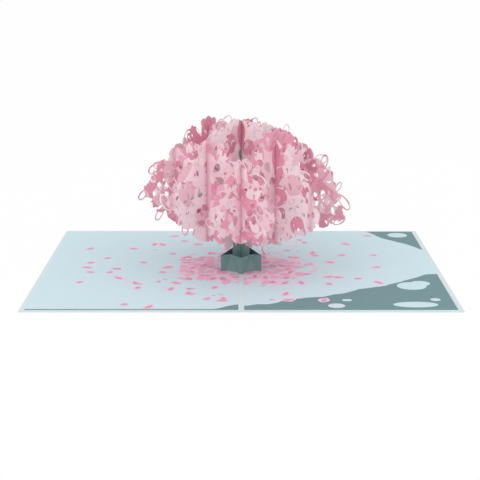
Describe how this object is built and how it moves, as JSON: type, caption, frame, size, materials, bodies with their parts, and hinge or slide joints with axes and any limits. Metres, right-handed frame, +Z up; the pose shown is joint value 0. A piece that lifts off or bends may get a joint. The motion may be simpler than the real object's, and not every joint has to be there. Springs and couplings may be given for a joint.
{
  "type": "pop up card",
  "caption": "Greeting card lying open, with a paper cherry blossom tree of slotted pink slices and a ridged teal trunk collar standing on its fold.",
  "frame": {"origin": "centre of the open card's underside, on the line of the spine", "axes": "+X across the spine towards the right page, +Y along the spine away from the viewer, +Z up out of the card"},
  "size_m": [0.254, 0.1778, 0.0963],
  "materials": {
    "pale_blue_card": "matte",
    "left_page_print": "matte",
    "right_page_print": "matte",
    "teal_card": "matte",
    "pale_pink_paper": "matte",
    "deep_pink_paper": "matte"
  },
  "bodies": {
    "root": {"card_cover": "pale_blue_card", "left_page_sheet": "left_page_print", "right_page_sheet": "right_page_print", "trunk_collar": "teal_card", "trunk_slice_a": "teal_card", "trunk_slice_b": "teal_card", "centre_blossom_a_front": "pale_pink_paper", "centre_blossom_b_front": "pale_pink_paper", "centre_blossom_a_back": "pale_pink_paper", "centre_blossom_b_back": "pale_pink_paper", "front_left_slice": "deep_pink_paper", "front_left_blossom": "pale_pink_paper", "front_right_slice": "deep_pink_paper", "front_right_blossom": "pale_pink_paper", "back_left_slice": "deep_pink_paper", "back_left_blossom": "pale_pink_paper", "back_right_slice": "deep_pink_paper", "back_right_blossom": "pale_pink_paper"}
  },
  "joints": []
}
